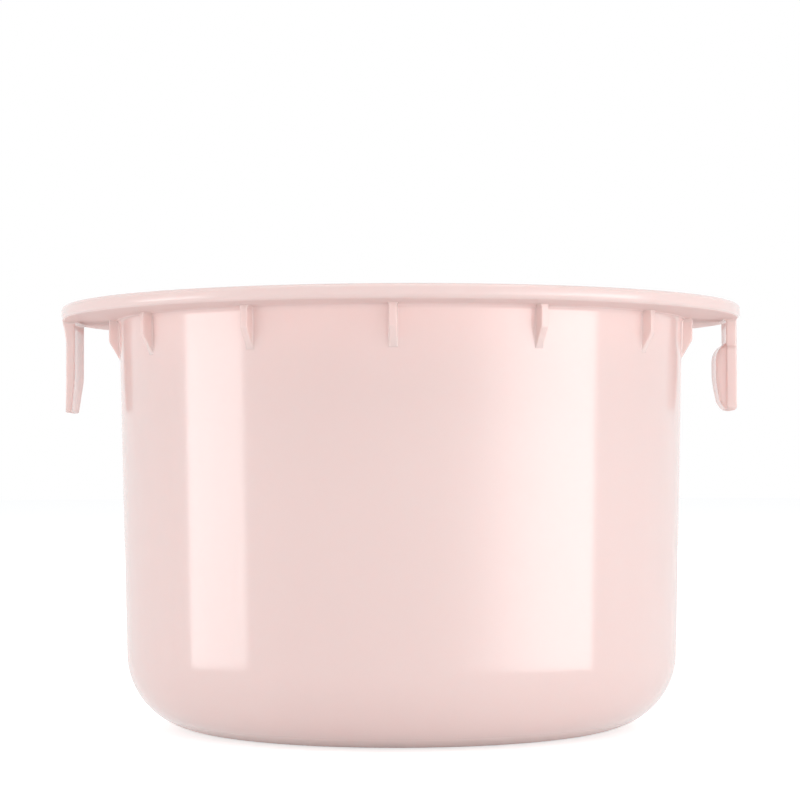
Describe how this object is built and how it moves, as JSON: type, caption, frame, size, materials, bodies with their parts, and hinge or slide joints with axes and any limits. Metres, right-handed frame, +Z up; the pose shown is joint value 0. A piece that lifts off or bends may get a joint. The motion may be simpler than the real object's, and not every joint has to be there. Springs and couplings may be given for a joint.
{
  "type": "snap-in wax pot",
  "caption": "Small round flanged plastic wax pot with short centring ribs under its rim, a flexing side leg and a snap-hook leg that clip it into an outer holder.",
  "frame": {"origin": "centre of the flat base, on the surface that the pot stands on", "axes": "+Z up along the pot's axis, the two legs on the X axis with the snap hook at +X"},
  "size_m": [0.058, 0.058, 0.0357],
  "materials": {
    "pink_plastic": "glossy moulded polypropylene, pale pink"
  },
  "bodies": {
    "pot": {"cup_base": "pink_plastic", "cup_wall": "pink_plastic", "rim_flange": "pink_plastic", "front_rib_1": "pink_plastic", "front_rib_2": "pink_plastic", "front_rib_3": "pink_plastic", "front_rib_4": "pink_plastic", "front_rib_5": "pink_plastic", "front_rib_6": "pink_plastic", "front_rib_7": "pink_plastic", "rear_rib_1": "pink_plastic", "rear_rib_2": "pink_plastic", "rear_rib_3": "pink_plastic", "rear_rib_4": "pink_plastic", "rear_rib_5": "pink_plastic", "rear_rib_6": "pink_plastic", "rear_rib_7": "pink_plastic"},
    "left_snap_leg": {"left_leg": "pink_plastic"},
    "right_snap_leg": {"right_leg": "pink_plastic", "right_hook": "pink_plastic"}
  },
  "joints": [
    {"name": "left_leg_flex", "type": "hinge", "parent": "pot", "child": "left_snap_leg", "pos_m": [-0.02831, 0, 0.03437], "axis": [0, 1, 0], "range_deg": [-3, 12], "stiffness_Nm_per_rad": 0.09},
    {"name": "right_leg_flex", "type": "hinge", "parent": "pot", "child": "right_snap_leg", "pos_m": [0.02829, 0, 0.03437], "axis": [0, -1, 0], "range_deg": [-3, 14], "stiffness_Nm_per_rad": 0.09}
  ]
}
